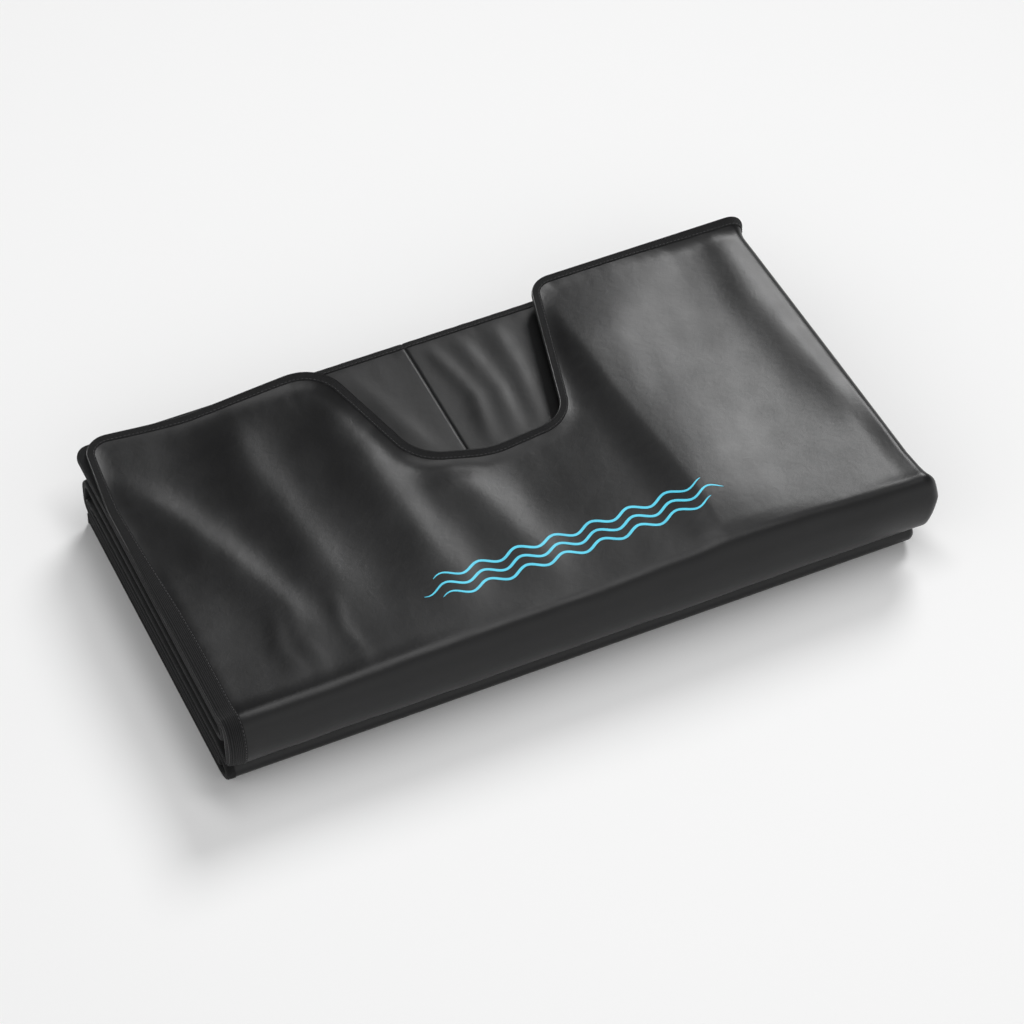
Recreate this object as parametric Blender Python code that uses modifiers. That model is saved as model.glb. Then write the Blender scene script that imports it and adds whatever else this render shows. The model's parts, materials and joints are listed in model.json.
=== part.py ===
"""Infrared sauna blanket, folded in four for storage.

A two-layer bag, closed along its right side and open along its left, lies as a
stack of four panels. From the floor up they are the foot, knee, hip and
shoulder panels. Each fold is a stiff loop between two panels, so it turns on
two lines, one at each panel's skin. X runs across the blanket, +Y points to the
head edge, +Z is up, and the origin is under the middle of the stack.
"""

import math

import bmesh
import bpy
from mathutils import Matrix

# Overall sizes
width = 0.900
low_panel_thickness = 0.0175
high_panel_thickness = 0.0410
panel_gap = 0.001

# Places of the folds and free edges along Y
upper_fold_front = -0.256
lower_fold_front = -0.227
back_fold_back = 0.226
foot_edge = 0.214
head_edge = 0.256
base_head_edge = 0.249

# Build-up of one layer, from its skin to the inside of the bag
skin = 0.0010
heater_sheet = 0.0008
lining_sheet = 0.0008
sheet_gap = 0.0003
bag_gap = 0.0030
mitre_clearance = 0.0004

# Neck notch in the shoulder cover
notch_left_mouth = -0.147
notch_left_foot = -0.082
notch_middle = 0.000
notch_right_foot = 0.104
notch_right_mouth = 0.162
notch_depth = 0.238
notch_left_rise = 0.027
notch_right_rise = 0.010
mouth_left_radius = 0.045
mouth_right_radius = 0.032
left_foot_radius = 0.060
middle_radius = 0.100
right_foot_radius = 0.045
cover_corner_radius = 0.025

# Binding tape
tape = 0.0008
tape_leg = 0.012
foot_tape = 0.0020

# Hook-and-loop closure along the open side
closure_width = 0.020
closure_inset = 0.018
closure_tape = 0.0009
closure_gap = 0.0004

# Power inlet in the foot edge
inlet_place = 0.250
inlet_width = 0.036
inlet_height = 0.011
inlet_inside = 0.012
inlet_outside = 0.018
inlet_wall = 0.0025
inlet_floor = 0.004
inlet_fit = 0.0004
pin_diameter = 0.0032
pin_pitch = 0.018
pin_length = 0.012
pin_fit = 0.0003

# Over-temperature cut-out in the hip base
cutout_length = 0.026
cutout_width = 0.014
cutout_height = 0.0050
cutout_place = (0.120, 0.020)
cutout_fit = 0.0004

arc_step = math.radians(11.25)

for old in list(bpy.data.objects):
    bpy.data.objects.remove(old, do_unlink=True)

parts = bpy.data.collections.new("infrared_sauna_blanket")
cutters = bpy.data.collections.new("cutters")
cutters.hide_render = True
bpy.context.scene.collection.children.link(parts)
bpy.context.scene.collection.children.link(cutters)


def material(name, colour, roughness, metallic=0.0):
    made = bpy.data.materials.new(name)
    made.use_nodes = True
    shader = made.node_tree.nodes["Principled BSDF"]
    shader.inputs["Base Color"].default_value = (*colour, 1.0)
    shader.inputs["Roughness"].default_value = roughness
    shader.inputs["Metallic"].default_value = metallic
    made.diffuse_color = (*colour, 1.0)
    return made


looks = {
    "leather": material("black_coated_leather", (0.020, 0.020, 0.022), 0.38),
    "pad": material("grey_insulation_pad", (0.30, 0.30, 0.31), 0.90),
    "heater": material("carbon_heater_sheet", (0.045, 0.042, 0.040), 0.65),
    "lining": material("charcoal_inner_lining", (0.060, 0.060, 0.064), 0.45),
    "tape": material("black_woven_tape", (0.012, 0.012, 0.013), 0.75),
    "closure": material("black_closure_tape", (0.016, 0.016, 0.017), 0.85),
    "plastic": material("black_moulded_plastic", (0.018, 0.018, 0.018), 0.45),
    "metal": material("plated_contact_metal", (0.62, 0.60, 0.55), 0.25, 1.0),
}


def extruded(name, outline, depth, placing, look, collection=parts):
    """A closed flat outline, extruded equally to both sides of its plane, as a mesh."""
    curve = bpy.data.curves.new(name + "_outline", "CURVE")
    curve.dimensions = "2D"
    curve.fill_mode = "BOTH"
    curve.extrude = depth / 2
    spline = curve.splines.new("POLY")
    spline.points.add(len(outline) - 1)
    for point, (u, v) in zip(spline.points, outline):
        point.co = (u, v, 0.0, 1.0)
    spline.use_cyclic_u = True
    drawn = bpy.data.objects.new(name + "_outline", curve)
    bpy.context.scene.collection.objects.link(drawn)
    drawn.matrix_world = placing
    made = as_mesh(drawn, name, collection)
    if look:
        made.data.materials.append(looks[look])
    return made


def as_mesh(source, name, collection=parts):
    """The evaluated shape of a curve as a welded mesh object, in the curve's place."""
    bpy.context.view_layer.update()
    graph = bpy.context.evaluated_depsgraph_get()
    mesh = bpy.data.meshes.new_from_object(source.evaluated_get(graph))
    shape = bmesh.new()
    shape.from_mesh(mesh)
    bmesh.ops.remove_doubles(shape, verts=shape.verts, dist=0.00001)
    bmesh.ops.recalc_face_normals(shape, faces=shape.faces)
    shape.to_mesh(mesh)
    shape.free()
    mesh.name = name
    mesh.materials.clear()
    made = bpy.data.objects.new(name, mesh)
    collection.objects.link(made)
    made.matrix_world = source.matrix_world.copy()
    old = source.data
    bpy.data.objects.remove(source, do_unlink=True)
    if isinstance(old, bpy.types.Curve):
        bpy.data.curves.remove(old)
    return made


def boolean(target, cutter, operation):
    step = target.modifiers.new(operation.lower() + "_" + cutter.name, "BOOLEAN")
    step.operation = operation
    step.solver = "EXACT"
    step.object = cutter


def as_cutter(obj):
    obj.hide_render = True
    obj.display_type = "WIRE"
    return obj


# Local X, Y and Z of a drawn outline lie along world Y, Z and X, or X, Z and -Y.
along_x = Matrix(((0, 0, 1, 0), (1, 0, 0, 0), (0, 1, 0, 0), (0, 0, 0, 1)))
along_y = Matrix(((1, 0, 0, 0), (0, 0, -1, 0), (0, 1, 0, 0), (0, 0, 0, 1)))


def slab(name, outline, x_low, x_high, look, collection=parts):
    """An outline in Y and Z, extruded from x_low to x_high."""
    placing = Matrix.Translation(((x_low + x_high) / 2, 0, 0)) @ along_x
    return extruded(name, outline, x_high - x_low, placing, look, collection)


def plan_slab(name, outline, z_low, z_high, look, collection=parts):
    """An outline in X and Y, extruded from z_low to z_high."""
    placing = Matrix.Translation((0, 0, (z_low + z_high) / 2))
    return extruded(name, outline, z_high - z_low, placing, look, collection)


def box(name, low, high, look=None, collection=parts):
    bpy.ops.mesh.primitive_cube_add(size=1.0)
    made = bpy.context.active_object
    made.name = name
    made.data.name = name
    made.data.transform(
        Matrix.Diagonal([high[i] - low[i] for i in range(3)] + [1.0])
    )
    made.location = [(low[i] + high[i]) / 2 for i in range(3)]
    for owner in list(made.users_collection):
        owner.objects.unlink(made)
    collection.objects.link(made)
    if look:
        made.data.materials.append(looks[look])
    return made


def arc(centre, radius, start, end):
    """Points along an arc, measured from straight down or up as the caller's signs say."""
    steps = max(2, math.ceil(abs(end - start) / arc_step))
    return [
        (
            centre[0] + radius * math.sin(start + (end - start) * i / steps),
            centre[1] + radius * math.cos(start + (end - start) * i / steps),
        )
        for i in range(steps + 1)
    ]


class Fold:
    """One fold: its outermost Y, which way the panels lie from it, and its hinge heights."""

    def __init__(self, outermost, into, low_hinge, high_hinge, thickness):
        self.y = outermost
        self.into = into
        self.low = low_hinge
        self.high = high_hinge
        self.thickness = thickness

    def panel_end(self, skin_up, depth, rise):
        """From the mitre to the panel's straight part, at this depth under the outer skin."""
        hinge = self.high if skin_up else self.low
        inward = -1 if skin_up else 1
        corner = hinge - inward * rise
        radius = rise if rise > 0 else self.thickness
        left = radius - depth
        if left > 0.002:
            centre = (self.y + self.into * radius, corner + inward * radius)
            widest = math.pi / 2 if rise > 0 else math.pi / 4
            start = widest - math.asin(mitre_clearance / left)
            return [
                (2 * centre[0] - y if self.into > 0 else y, z)
                for y, z in arc_signed(centre, left, start, 0.0, inward)
            ]
        step = max(depth - rise, 0.0) + mitre_clearance * math.sqrt(2)
        return [(self.y + self.into * step, corner + inward * depth)]

    def loop(self, depth, low_radius, high_radius):
        """The loop's own outline at this depth, from its low mitre to its high one."""
        points = []
        for hinge, inward, radius in (
            (self.low, 1, low_radius),
            (self.high, -1, high_radius),
        ):
            left = radius - depth
            if left > 0.002:
                centre = (self.y + self.into * radius, hinge + inward * radius)
                start = math.pi / 4 + math.asin(mitre_clearance / left)
                side = [
                    (2 * centre[0] - y if self.into > 0 else y, z)
                    for y, z in arc_signed(centre, left, start, math.pi / 2, inward)
                ]
            else:
                off = depth + mitre_clearance * math.sqrt(2)
                side = [(self.y + self.into * depth, hinge + inward * off)]
            points += side if inward > 0 else side[::-1]
        return points


def arc_signed(centre, radius, start, end, inward):
    """An arc from start to end, measured from the skin's normal towards the fold's outside."""
    return [
        (y, 2 * centre[1] - z if inward > 0 else z)
        for y, z in arc(centre, radius, start, end)
    ]


# Levels of the four panels
foot_low = 0.0
knee_low = foot_low + low_panel_thickness + panel_gap
hip_low = knee_low + low_panel_thickness + panel_gap
shoulder_low = hip_low + high_panel_thickness + panel_gap
stack_top = shoulder_low + high_panel_thickness

lower_fold = Fold(
    lower_fold_front, 1, foot_low, knee_low + low_panel_thickness, low_panel_thickness
)
back_fold = Fold(
    back_fold_back, -1, knee_low, hip_low + low_panel_thickness, low_panel_thickness
)
upper_fold = Fold(
    upper_fold_front, 1, hip_low, stack_top, high_panel_thickness
)
hip_rise = high_panel_thickness - low_panel_thickness

# Each panel: low face, thickness, cover up or down, front end, back end.
# An end is (fold, outer skin is the panel's top, rise) or the Y of a free edge.
panels = {
    "foot": {
        "low": foot_low,
        "thickness": low_panel_thickness,
        "cover_up": False,
        "front": (lower_fold, False, 0.0),
        "back": foot_edge - foot_tape - sheet_gap,
    },
    "knee": {
        "low": knee_low,
        "thickness": low_panel_thickness,
        "cover_up": True,
        "front": (lower_fold, True, 0.0),
        "back": (back_fold, False, 0.0),
    },
    "hip": {
        "low": hip_low,
        "thickness": high_panel_thickness,
        "cover_up": False,
        "front": (upper_fold, False, 0.0),
        "back": (back_fold, True, hip_rise),
    },
    "shoulder": {
        "low": shoulder_low,
        "thickness": high_panel_thickness,
        "cover_up": True,
        "front": (upper_fold, True, 0.0),
        "back": head_edge,
    },
}


def end_points(panel, end, z, inner):
    """One end of a face at height z. An inner layer stops short of a layer that wraps down."""
    if isinstance(end, float):
        return [(end, z)]
    fold, skin_up, rise = end
    depth = end_depth(panel, skin_up, z)
    if inner and rise > 0 and depth < rise + mitre_clearance:
        return [(wrapped_stop(panel, fold), z)]
    return fold.panel_end(skin_up, depth, rise)


def end_depth(panel, skin_up, z):
    top = panel["low"] + panel["thickness"]
    return top - z if skin_up else z - panel["low"]


def wrapped_stop(panel, fold):
    return fold.y + fold.into * (layer_thickness(panel["thickness"]) + bag_gap)


def end_step(panel, end, z_low, z_high, inner):
    """Where an inner sheet passes below the layer that wraps down, it steps out to the mitre."""
    if isinstance(end, float) or not inner:
        return []
    fold, skin_up, rise = end
    limit = rise + mitre_clearance
    near = end_depth(panel, skin_up, z_high if skin_up else z_low)
    far = end_depth(panel, skin_up, z_low if skin_up else z_high)
    if rise <= 0 or not near < limit < far:
        return []
    top = panel["low"] + panel["thickness"]
    z = top - limit if skin_up else panel["low"] + limit
    return [(wrapped_stop(panel, fold), z), fold.panel_end(skin_up, limit, rise)[0]]


def panel_outline(panel, z_low, z_high, back=None, inner=False):
    """The outline in Y and Z of the part of a panel between two heights."""
    back = panel["back"] if back is None else back
    return (
        end_points(panel, panel["front"], z_high, False)
        + end_points(panel, back, z_high, inner)[::-1]
        + end_step(panel, back, z_low, z_high, inner)
        + end_points(panel, back, z_low, inner)
        + end_points(panel, panel["front"], z_low, False)[::-1]
    )


def layer_thickness(thickness):
    return (thickness - bag_gap) / 2


def pad_thickness(thickness):
    sheets = skin + heater_sheet + lining_sheet + 3 * sheet_gap
    return layer_thickness(thickness) - sheets


def layer_levels(thickness):
    """Depth of each sheet of one layer under its own skin."""
    pad_low = skin + sheet_gap
    heater_low = pad_low + pad_thickness(thickness) + sheet_gap
    lining_low = heater_low + heater_sheet + sheet_gap
    return {
        "shell": (0.0, skin, "leather"),
        "pad": (pad_low, heater_low - sheet_gap, "pad"),
        "heater": (heater_low, heater_low + heater_sheet, "heater"),
        "lining": (lining_low, lining_low + lining_sheet, "lining"),
    }


def rounded(points, radii):
    """A polyline whose inner corners are arcs of the given radii."""
    path = [points[0]]
    for i in range(1, len(points) - 1):
        before, here, after = points[i - 1], points[i], points[i + 1]
        u = (before[0] - here[0], before[1] - here[1])
        v = (after[0] - here[0], after[1] - here[1])
        nu, nv = math.hypot(*u), math.hypot(*v)
        u, v = (u[0] / nu, u[1] / nu), (v[0] / nv, v[1] / nv)
        half = math.acos(max(-1, min(1, u[0] * v[0] + u[1] * v[1]))) / 2
        radius = radii[i - 1]
        if radius <= 0:
            path.append(here)
            continue
        back = radius / math.tan(half)
        middle = (u[0] + v[0], u[1] + v[1])
        length = math.hypot(*middle)
        far = radius / math.sin(half)
        centre = (
            here[0] + middle[0] / length * far,
            here[1] + middle[1] / length * far,
        )
        start = (here[0] + u[0] * back, here[1] + u[1] * back)
        end = (here[0] + v[0] * back, here[1] + v[1] * back)
        a0 = math.atan2(start[1] - centre[1], start[0] - centre[0])
        a1 = math.atan2(end[1] - centre[1], end[0] - centre[0])
        turn = (a1 - a0 + math.pi) % (2 * math.pi) - math.pi
        steps = max(2, math.ceil(abs(turn) / arc_step))
        for j in range(steps + 1):
            a = a0 + turn * j / steps
            path.append(
                (centre[0] + radius * math.cos(a), centre[1] + radius * math.sin(a))
            )
    path.append(points[-1])
    return path


def edge_line(inset, x_left, x_right, y_start, y_end):
    """The cover's free edge in plan, from the left side, round the notch, to the right."""
    foot = y_end - notch_depth
    corners = [
        (x_left, y_start),
        (x_left, y_end),
        (notch_left_mouth, y_end),
        (notch_left_foot, foot + notch_left_rise),
        (notch_middle, foot),
        (notch_right_foot, foot + notch_right_rise),
        (notch_right_mouth, y_end),
        (x_right, y_end),
    ]
    # +1 where the cover's material lies inside the turn, -1 in the notch
    turns = [1, 1, -1, -1, -1, 1]
    radii = [
        cover_corner_radius,
        mouth_left_radius,
        left_foot_radius,
        middle_radius,
        right_foot_radius,
        mouth_right_radius,
    ]
    moved = []
    for i, (x, y) in enumerate(corners):
        before = corners[i - 1] if i else (x, y - 1)
        after = corners[i + 1] if i + 1 < len(corners) else (x + 1, y)
        first = (x - before[0], y - before[1])
        second = (after[0] - x, after[1] - y)
        n1 = (first[1] / math.hypot(*first), -first[0] / math.hypot(*first))
        n2 = (second[1] / math.hypot(*second), -second[0] / math.hypot(*second))
        scale = inset / (1 + n1[0] * n2[0] + n1[1] * n2[1])
        moved.append((x + (n1[0] + n2[0]) * scale, y + (n1[1] + n2[1]) * scale))
    return rounded(moved, [r - inset * t for r, t in zip(radii, turns)])


left_side = -width / 2


def right_stop(thickness):
    return width / 2 - thickness / 2


# Plan shape that trims the shoulder cover inside its binding
binding_inset = tape + sheet_gap
cover_edge = edge_line(
    binding_inset, left_side, width, upper_fold_front - 0.05, head_edge
)
cover_plan = cover_edge + [(width, upper_fold_front - 0.05)]
trim = as_cutter(
    plan_slab("shoulder_cover_plan", cover_plan, -0.05, 0.30, None, cutters)
)

# The four panels, sheet by sheet
for name, panel in panels.items():
    thickness = panel["thickness"]
    top = panel["low"] + thickness
    stop = right_stop(thickness) - sheet_gap
    for layer in ("cover", "base"):
        skin_up = panel["cover_up"] == (layer == "cover")
        back = panel["back"]
        if name == "shoulder" and layer == "base":
            back = base_head_edge - binding_inset
        for sheet, (near, far, look) in layer_levels(thickness).items():
            low, high = (top - far, top - near) if skin_up else (
                panel["low"] + near,
                panel["low"] + far,
            )
            made = slab(
                f"{name}_{layer}_{sheet}",
                panel_outline(panel, low, high, back, inner=layer == "cover"),
                left_side,
                stop,
                look,
            )
            if name == "shoulder" and layer == "cover":
                boolean(made, trim, "INTERSECT")

# The closed side: a half-round edge where each panel's cover turns into its base
for name, panel in panels.items():
    thickness = panel["thickness"]
    low, top = panel["low"], panel["low"] + thickness
    back = panel["back"]
    if name == "shoulder":
        back = base_head_edge
    radius = thickness / 2
    centre = (width / 2 - radius, low + radius)
    round_side = arc(centre, radius, 0.0, math.pi)
    round_side = [(width / 2 - thickness, top)] + round_side
    round_side += [(width / 2 - thickness, low)]
    placing = along_y
    shaper = as_cutter(
        extruded(name + "_side_round", round_side, 2.0, placing, None, cutters)
    )
    made = slab(
        name + "_closed_side",
        panel_outline(panel, low, top, back),
        right_stop(thickness),
        width / 2 + 0.01,
        "leather",
    )
    boolean(made, shaper, "INTERSECT")

# The three fold loops
for name, fold, high_radius in (
    ("lower_fold", lower_fold, lower_fold.thickness),
    ("back_fold", back_fold, 0.0 if hip_rise > 0 else back_fold.thickness),
    ("upper_fold", upper_fold, upper_fold.thickness),
):
    layer = layer_thickness(fold.thickness)
    pad_low = skin + sheet_gap
    pad_high = pad_low + pad_thickness(fold.thickness)
    inner_low = layer + bag_gap
    inner_high = fold.thickness - 0.002
    side = right_stop(fold.thickness)
    for sheet, near, far, look, x_high in (
        ("shell", 0.0, skin, "leather", side + fold.thickness * 0.35),
        ("outer_pad", pad_low, pad_high, "pad", side),
        ("inner_pad", inner_low, inner_high, "pad", side),
    ):
        outline = fold.loop(near, fold.thickness, high_radius)
        outline += fold.loop(far, fold.thickness, high_radius)[::-1]
        slab(f"{name}_{sheet}", outline, left_side, x_high, look)


def channel(name, path, web, look):
    """Binding tape folded over an edge: a U section swept along the edge's own line."""
    half = web / 2
    section = bpy.data.curves.new(name + "_section", "CURVE")
    section.dimensions = "2D"
    spline = section.splines.new("POLY")
    corners = [
        (0.0, -half - tape),
        (tape_leg, -half - tape),
        (tape_leg, -half),
        (tape, -half),
        (tape, half),
        (tape_leg, half),
        (tape_leg, half + tape),
        (0.0, half + tape),
    ]
    spline.points.add(len(corners) - 1)
    for point, (u, v) in zip(spline.points, corners):
        point.co = (u, v, 0.0, 1.0)
    spline.use_cyclic_u = True
    section_object = bpy.data.objects.new(name + "_section", section)
    bpy.context.scene.collection.objects.link(section_object)
    curve = bpy.data.curves.new(name + "_path", "CURVE")
    curve.dimensions = "3D"
    curve.twist_mode = "Z_UP"
    curve.bevel_mode = "OBJECT"
    curve.bevel_object = section_object
    curve.use_fill_caps = True
    line = curve.splines.new("POLY")
    line.points.add(len(path) - 1)
    for point, (x, y, z) in zip(line.points, path):
        point.co = (x, y, z, 1.0)
    swept = bpy.data.objects.new(name + "_path", curve)
    bpy.context.scene.collection.objects.link(swept)
    made = as_mesh(swept, name)
    made.data.materials.append(looks[look])
    bpy.data.objects.remove(section_object, do_unlink=True)
    bpy.data.curves.remove(section)
    return made


# Binding tape on the shoulder panel's free edges
shoulder = panels["shoulder"]
shoulder_layer = layer_thickness(high_panel_thickness)
shoulder_stop = right_stop(high_panel_thickness) - sheet_gap
cover_middle = stack_top - shoulder_layer / 2
base_middle = shoulder_low + shoulder_layer / 2
binding_web = shoulder_layer + 2 * sheet_gap
straight_start = upper_fold_front + high_panel_thickness + 0.001
cover_path = edge_line(0.0, left_side, shoulder_stop, straight_start, head_edge)
channel(
    "shoulder_cover_binding",
    [(x, y, cover_middle) for x, y in cover_path],
    binding_web,
    "tape",
)
channel(
    "shoulder_base_binding",
    [
        (left_side, base_head_edge, base_middle),
        (shoulder_stop, base_head_edge, base_middle),
    ],
    binding_web,
    "tape",
)

# Tape that closes the foot end over both layers
foot_top = foot_low + low_panel_thickness
foot_binding = box(
    "foot_binding",
    (left_side, foot_edge - foot_tape, foot_low + sheet_gap),
    (right_stop(low_panel_thickness) - sheet_gap, foot_edge, foot_top - sheet_gap),
    "tape",
)

# Hook tape on the cover and loop tape on the base, along the open side
for name, panel in panels.items():
    thickness = panel["thickness"]
    layer = layer_thickness(thickness)
    low, top = panel["low"], panel["low"] + thickness
    front = panel["front"][0].y + panel["front"][0].thickness + 0.002
    if isinstance(panel["back"], float):
        back = panel["back"] - closure_inset
    else:
        back = panel["back"][0].y - thickness - 0.002
    if name == "shoulder":
        back = base_head_edge - closure_inset
    x_low = left_side + closure_inset
    x_high = x_low + closure_width
    for layer_name, kind in (("cover", "hook"), ("base", "loop")):
        skin_up = panel["cover_up"] == (layer_name == "cover")
        if skin_up:
            z_high = top - layer - closure_gap
            z_low = z_high - closure_tape
        else:
            z_low = low + layer + closure_gap
            z_high = z_low + closure_tape
        box(
            f"{name}_{kind}_tape",
            (x_low, front, z_low),
            (x_high, back, z_high),
            "closure",
        )

# Power inlet: a moulded shell with two flat-ended contact pins, set in the foot edge
inlet_middle = foot_low + low_panel_thickness / 2
inlet_low = inlet_middle - inlet_height / 2
inlet_high = inlet_middle + inlet_height / 2
inlet_back = foot_edge - foot_tape - inlet_inside
inlet_front = foot_edge + inlet_outside
inlet_housing = box(
    "inlet_housing",
    (inlet_place - inlet_width / 2, inlet_back, inlet_low),
    (inlet_place + inlet_width / 2, inlet_front, inlet_high),
    "plastic",
)
rounding = inlet_housing.modifiers.new("rounding", "BEVEL")
rounding.width = 0.0015
rounding.segments = 2
socket = as_cutter(
    box(
        "inlet_socket",
        (
            inlet_place - inlet_width / 2 + inlet_wall,
            inlet_back + inlet_floor,
            inlet_low + inlet_wall,
        ),
        (
            inlet_place + inlet_width / 2 - inlet_wall,
            inlet_front + 0.01,
            inlet_high - inlet_wall,
        ),
        None,
        cutters,
    )
)
boolean(inlet_housing, socket, "DIFFERENCE")
for side, name in ((-1, "inlet_pin_left"), (1, "inlet_pin_right")):
    bpy.ops.mesh.primitive_cylinder_add(
        vertices=16, radius=pin_diameter / 2, depth=pin_length
    )
    pin = bpy.context.active_object
    pin.name = name
    pin.data.name = name
    pin.rotation_euler = (math.pi / 2, 0, 0)
    pin.location = (
        inlet_place + side * pin_pitch / 2,
        inlet_back + inlet_floor + pin_fit + pin_length / 2,
        inlet_middle,
    )
    for owner in list(pin.users_collection):
        owner.objects.unlink(pin)
    parts.objects.link(pin)
    pin.data.materials.append(looks["metal"])
pocket = as_cutter(
    box(
        "inlet_pocket",
        (
            inlet_place - inlet_width / 2 - inlet_fit,
            inlet_back - inlet_fit,
            inlet_low - inlet_fit,
        ),
        (
            inlet_place + inlet_width / 2 + inlet_fit,
            inlet_front,
            inlet_high + inlet_fit,
        ),
        None,
        cutters,
    )
)
for name in (
    "foot_cover_pad",
    "foot_cover_heater",
    "foot_cover_lining",
    "foot_base_lining",
    "foot_base_heater",
    "foot_base_pad",
    "foot_binding",
):
    boolean(bpy.data.objects[name], pocket, "DIFFERENCE")

# Over-temperature cut-out, in a pocket on the heater side of the hip base's pad
hip = panels["hip"]
hip_levels = layer_levels(high_panel_thickness)
hip_top = hip_low + high_panel_thickness
hip_pad_low = hip_top - hip_levels["pad"][1]
cutout_low = hip_pad_low + cutout_fit
cutout_high = cutout_low + cutout_height
box(
    "over_temperature_cutout",
    (
        cutout_place[0] - cutout_length / 2,
        cutout_place[1] - cutout_width / 2,
        cutout_low,
    ),
    (
        cutout_place[0] + cutout_length / 2,
        cutout_place[1] + cutout_width / 2,
        cutout_high,
    ),
    "plastic",
)
cutout_pocket = as_cutter(
    box(
        "cutout_pocket",
        (
            cutout_place[0] - cutout_length / 2 - cutout_fit,
            cutout_place[1] - cutout_width / 2 - cutout_fit,
            hip_pad_low - 0.001,
        ),
        (
            cutout_place[0] + cutout_length / 2 + cutout_fit,
            cutout_place[1] + cutout_width / 2 + cutout_fit,
            cutout_high + cutout_fit,
        ),
        None,
        cutters,
    )
)
boolean(bpy.data.objects["hip_base_pad"], cutout_pocket, "DIFFERENCE")

for made in parts.objects:
    made.data.shade_smooth()
    made.data.set_sharp_from_angle(angle=math.radians(35))
print(len(parts.objects), "pieces; stack", round(stack_top * 1000, 1), "mm high")
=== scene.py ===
# Infrared sauna blanket, folded in four: padded leather layers, woven edge tape, stitching.
import json
import math

import bmesh
import bpy
import numpy as np
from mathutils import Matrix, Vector, geometry


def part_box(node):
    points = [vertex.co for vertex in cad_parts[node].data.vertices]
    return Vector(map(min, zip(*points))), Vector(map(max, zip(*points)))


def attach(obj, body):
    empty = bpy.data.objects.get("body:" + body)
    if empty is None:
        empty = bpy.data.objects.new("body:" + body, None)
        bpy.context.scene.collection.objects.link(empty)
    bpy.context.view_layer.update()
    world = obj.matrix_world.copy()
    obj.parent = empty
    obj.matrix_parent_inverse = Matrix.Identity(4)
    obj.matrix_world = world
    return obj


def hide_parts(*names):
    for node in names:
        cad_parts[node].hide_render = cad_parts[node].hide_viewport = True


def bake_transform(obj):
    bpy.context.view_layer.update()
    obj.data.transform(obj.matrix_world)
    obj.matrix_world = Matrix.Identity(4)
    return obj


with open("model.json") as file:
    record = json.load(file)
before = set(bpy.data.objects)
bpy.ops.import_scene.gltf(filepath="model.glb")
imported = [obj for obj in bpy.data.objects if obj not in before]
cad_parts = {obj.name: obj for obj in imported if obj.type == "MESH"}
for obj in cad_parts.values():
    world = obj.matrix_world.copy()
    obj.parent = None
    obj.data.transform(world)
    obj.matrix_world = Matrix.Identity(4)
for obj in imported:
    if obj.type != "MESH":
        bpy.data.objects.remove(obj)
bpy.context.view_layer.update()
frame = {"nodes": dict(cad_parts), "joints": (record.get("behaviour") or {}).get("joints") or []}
print("frame loaded")

studio = {
    "cameraPlace": (-1.4131, -3.1237, 3.8068),
    "cameraTarget": (0.009, -0.027, 0.05),
    "cameraLens": 147.57,
    "floorSize": 14.0,
    "floorColour": (0.905, 0.905, 0.905),
    "worldColour": (1.0, 1.0, 1.0),
    "worldDarkSide": (0.36, 0.59, 0.72),     # the dark backdrop's direction
    "worldStrengths": (1.06, 0.08),          # open side, dark side
    "worldTurn": (0.0, 0.62),                # cosines to that direction where one turns into the other
    "sunFrom": (0.56, 0.57, 0.60),
    "sunStrength": 1.7,
    "sunAngle": 22.0,
    # name, place, target, size, power
    "lights": (
        ("overheadStrip", (0.5, 0.1, 3.2), (0.1, -0.1, 0.0), (2.8, 0.8), 38.0),
    ),
}


def aimed(obj, place, target):
    obj.location = place
    obj.rotation_euler = (Vector(target) - Vector(place)).to_track_quat("-Z", "Y").to_euler()


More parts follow.
